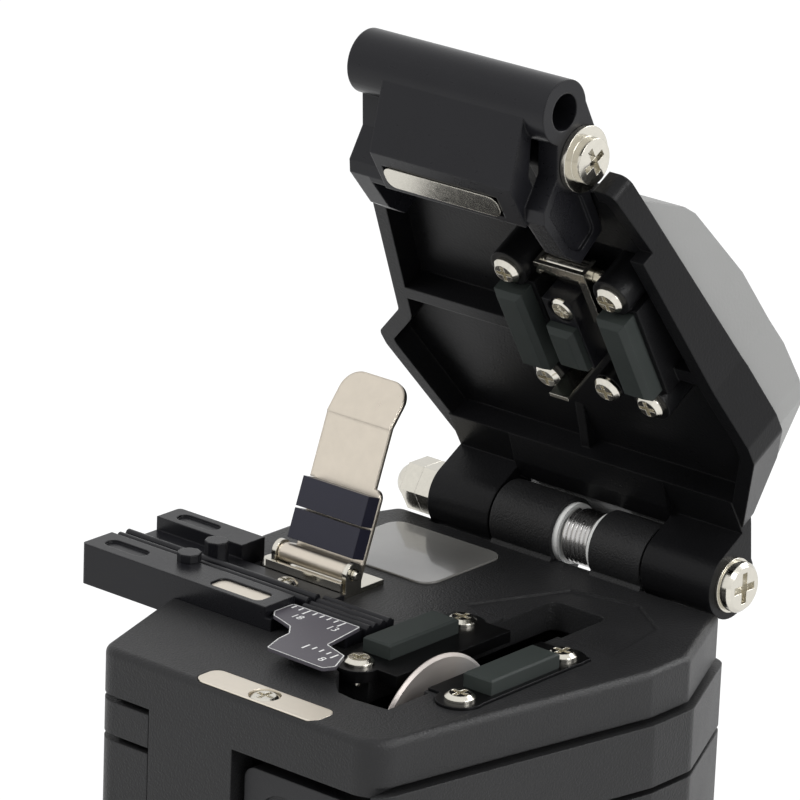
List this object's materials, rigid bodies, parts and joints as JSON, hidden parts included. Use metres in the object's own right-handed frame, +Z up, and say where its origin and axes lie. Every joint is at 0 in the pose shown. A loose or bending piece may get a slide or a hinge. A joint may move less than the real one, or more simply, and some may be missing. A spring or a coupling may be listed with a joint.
{
  "type": "fibre cleaver",
  "caption": "Bench cleaver for optical fibre: hinged clamping lid with handle, sliding blade carriage, fibre tray with hold-down flap and length scale.",
  "frame": {"origin": "middle of the rubber mat's underside, on the surface that the cleaver stands on", "axes": "+Z up, +X to the right along the lid's hinge, -Y to the front with the striker plate and the push plate"},
  "size_m": [0.0648, 0.0632, 0.1039],
  "materials": {
    "black_textured_plastic": "fine moulded texture",
    "grey_plastic": "light grey, fine texture",
    "black_smooth_plastic": "smooth, semi-gloss",
    "nylon": "natural white",
    "grey_label": "glossy sheet, bare",
    "scale_grey": "satin grey with printed scale in the looks",
    "rubber": "matte, slightly green black",
    "navy_rubber": "smooth dark navy",
    "chrome": "bright plated",
    "cream_steel": "plated, warm",
    "blackened_steel": "black oxide",
    "blade_steel": "ground, radial sheen",
    "bright_steel": "bright",
    "aluminium": "milled"
  },
  "bodies": {
    "base": {"housing": "black_textured_plastic", "left_upper_cover": "black_textured_plastic", "left_lower_cover": "black_textured_plastic", "right_upper_cover": "black_textured_plastic", "right_lower_cover": "black_textured_plastic", "bottom_plate": "black_textured_plastic", "rubber_mat": "rubber", "bottom_screws": "bright_steel", "striker_plate": "cream_steel", "striker_screw": "chrome", "label_plate": "grey_label", "left_pad_plate": "blackened_steel", "right_pad_plate": "blackened_steel", "base_pad_left": "rubber", "base_pad_right": "rubber", "base_pad_screws": "chrome", "fibre_tray": "black_smooth_plastic", "tray_blocks": "black_smooth_plastic", "tray_metal_plate": "cream_steel", "tray_screw": "chrome", "fibre_guide": "black_smooth_plastic", "scale_plate": "scale_grey", "flap_bracket": "chrome", "flap_pin": "chrome", "nylon_bushes": "nylon", "torsion_spring": "bright_steel", "guide_rail": "aluminium", "rail_screws": "bright_steel", "carriage_spring": "bright_steel"},
    "lid": {"lid_shell": "black_textured_plastic", "lid_cover": "grey_plastic", "lid_pad_left": "rubber", "lid_pad_right": "rubber", "lid_pad_screws": "chrome", "anvil_stop_screw": "chrome", "anvil_pivot_pin": "bright_steel", "hinge_screw": "chrome", "hinge_washer": "chrome", "hinge_nut": "chrome", "hinge_acorn_nut": "chrome", "handle_pivot_screw": "chrome", "handle_spring": "bright_steel"},
    "handle": {"handle": "black_smooth_plastic", "handle_magnet": "chrome"},
    "anvil": {"anvil_bracket": "chrome", "anvil_block": "black_smooth_plastic", "anvil_pad": "rubber", "anvil_screw": "chrome"},
    "flap": {"flap_leaf": "chrome", "flap_pads": "navy_rubber"},
    "carriage": {"carriage_runner": "aluminium", "carriage_block": "aluminium", "push_plate": "black_textured_plastic", "blade_holder": "aluminium", "blade_hub": "bright_steel", "blade_screw": "bright_steel"},
    "blade": {"blade_wheel": "blade_steel"}
  },
  "joints": [
    {"name": "lid_hinge", "type": "hinge", "parent": "base", "child": "lid", "pos_m": [0, 0.0299, 0.0426], "axis": [1, 0, 0], "range_deg": [0, 59], "stiffness_Nm_per_rad": 0.012, "springref_deg": -40.11},
    {"name": "handle_pivot", "type": "hinge", "parent": "lid", "child": "handle", "pos_m": [0, 0.00622, 0.09482], "axis": [1, 0, 0], "range_deg": [-12, 0], "stiffness_Nm_per_rad": 0.005, "springref_deg": 22.92},
    {"name": "anvil_pivot", "type": "hinge", "parent": "lid", "child": "anvil", "pos_m": [0, 0.01278, 0.07999], "axis": [1, 0, 0], "range_deg": [0, 8], "stiffness_Nm_per_rad": 0.002, "springref_deg": -17.19},
    {"name": "flap_hinge", "type": "hinge", "parent": "base", "child": "flap", "pos_m": [0, 0.0024, 0.0425], "axis": [1, 0, 0], "range_deg": [0, 110]},
    {"name": "carriage_slide", "type": "slide", "parent": "base", "child": "carriage", "axis": [0, 1, 0], "range_m": [0, 0.016], "stiffness_N_per_m": 60, "springref_m": -0.01},
    {"name": "blade_spin", "type": "hinge", "parent": "carriage", "child": "blade", "pos_m": [0.0121, -0.0076, 0.032], "axis": [1, 0, 0], "continuous": true}
  ],
  "couplings": [
    {"joint": "flap_hinge", "follows": "lid_hinge", "ratio": 1.86}
  ]
}
